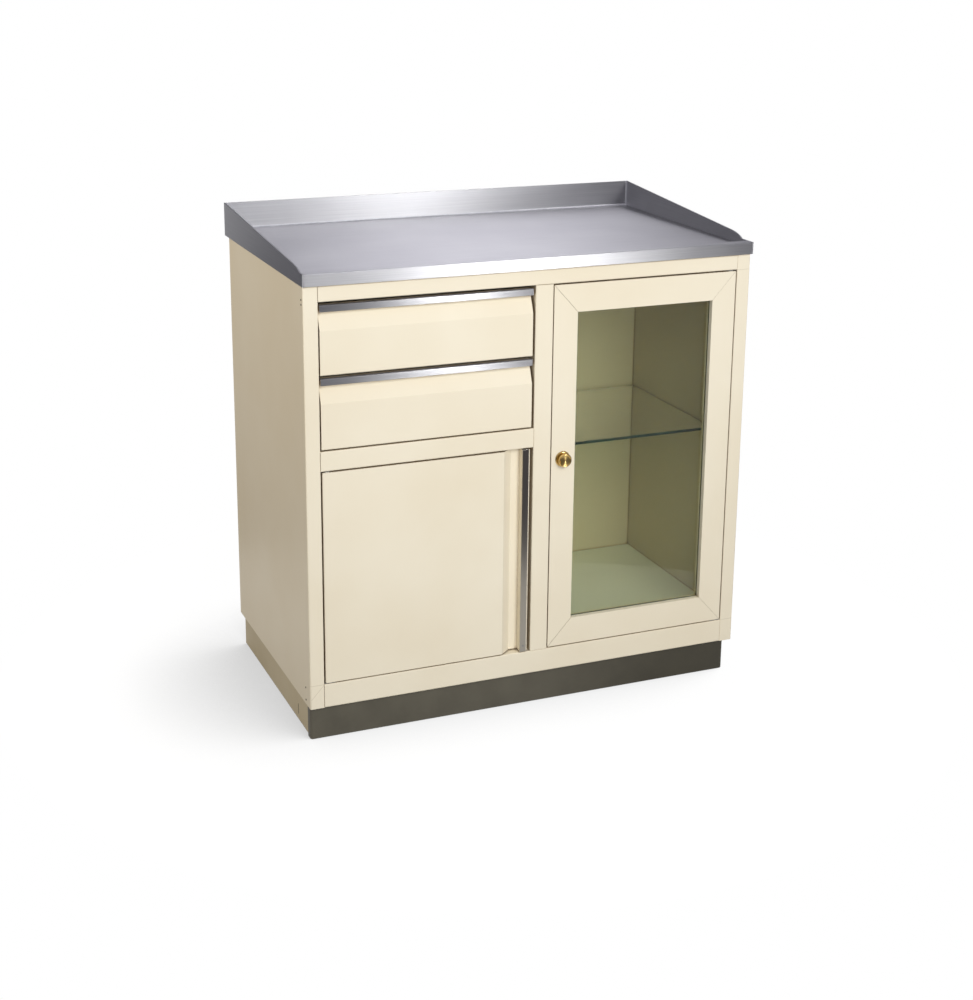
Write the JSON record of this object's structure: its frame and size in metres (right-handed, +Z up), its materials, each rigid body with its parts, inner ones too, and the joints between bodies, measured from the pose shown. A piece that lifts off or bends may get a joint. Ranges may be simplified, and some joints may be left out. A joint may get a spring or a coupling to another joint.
{
  "type": "glass door medical cabinet",
  "caption": "Free-standing enamelled steel clinic cabinet with a stainless tray worktop, sliding drawers, a flush steel door and a glazed door over a glass shelf.",
  "frame": {"origin": "on the floor, under the centre of the bounding box", "axes": "+X to the right as seen from the front, +Y to the back, +Z up"},
  "size_m": [0.918, 0.553, 0.951],
  "materials": {
    "enamel": "cream stove enamel, satin",
    "stainless": "brushed along its length",
    "plated_steel": "zinc plated",
    "brass": "polished, lightly aged",
    "glass": "clear float glass with a green edge",
    "vinyl": "matt dark grey",
    "board": "bare plywood",
    "nylon": "moulded, matt"
  },
  "bodies": {
    "carcass": {"left_side_panel": "enamel", "right_side_panel": "enamel", "top_rail": "enamel", "mid_rail": "enamel", "bottom_rail": "enamel", "centre_stile": "enamel", "centre_partition": "enamel", "back_panel": "enamel", "floor_panel": "enamel", "dust_panel": "enamel", "worktop_core": "board", "worktop_deck": "stainless", "left_side_splash": "stainless", "right_side_splash": "stainless", "plinth_front": "enamel", "plinth_back": "enamel", "plinth_left": "enamel", "plinth_right": "enamel", "kick_strip": "vinyl", "upper_left_runner": "plated_steel", "upper_right_runner": "plated_steel", "lower_left_runner": "plated_steel", "lower_right_runner": "plated_steel", "glass_shelf": "glass", "left_front_shelf_clip": "plated_steel", "right_front_shelf_clip": "plated_steel", "left_back_shelf_clip": "plated_steel", "right_back_shelf_clip": "plated_steel", "solid_door_lower_pivot": "plated_steel", "solid_door_upper_pivot": "plated_steel", "glass_door_lower_pivot": "plated_steel", "glass_door_upper_pivot": "plated_steel", "solid_door_catch": "nylon", "glass_door_catch": "nylon"},
    "upper_drawer": {"upper_drawer_front": "enamel", "upper_drawer_trim": "stainless", "upper_drawer_tray": "enamel", "upper_drawer_left_rail": "plated_steel", "upper_drawer_right_rail": "plated_steel"},
    "lower_drawer": {"lower_drawer_front": "enamel", "lower_drawer_trim": "stainless", "lower_drawer_tray": "enamel", "lower_drawer_left_rail": "plated_steel", "lower_drawer_right_rail": "plated_steel"},
    "solid_door": {"solid_door_pan": "enamel", "solid_door_inner": "enamel", "solid_door_trim": "stainless", "solid_door_lower_bush": "nylon", "solid_door_upper_bush": "nylon"},
    "glass_door": {"glass_door_bottom_rail": "enamel", "glass_door_top_rail": "enamel", "glass_door_latch_stile": "enamel", "glass_door_hinge_stile": "enamel", "glass_pane": "glass", "glazing_bead": "enamel", "glass_door_lower_bush": "nylon", "glass_door_upper_bush": "nylon", "knob": "brass", "knob_rosette": "brass"}
  },
  "joints": [
    {"name": "upper_drawer_slide", "type": "slide", "parent": "carcass", "child": "upper_drawer", "axis": [0, -1, 0], "range_m": [0, 0.36]},
    {"name": "lower_drawer_slide", "type": "slide", "parent": "carcass", "child": "lower_drawer", "axis": [0, -1, 0], "range_m": [0, 0.36]},
    {"name": "solid_door_hinge", "type": "hinge", "parent": "carcass", "child": "solid_door", "pos_m": [-0.416, -0.2555, 0.325], "axis": [0, 0, -1], "range_deg": [0, 110]},
    {"name": "glass_door_hinge", "type": "hinge", "parent": "carcass", "child": "glass_door", "pos_m": [0.416, -0.2555, 0.484], "axis": [0, 0, 1], "range_deg": [0, 110]}
  ]
}
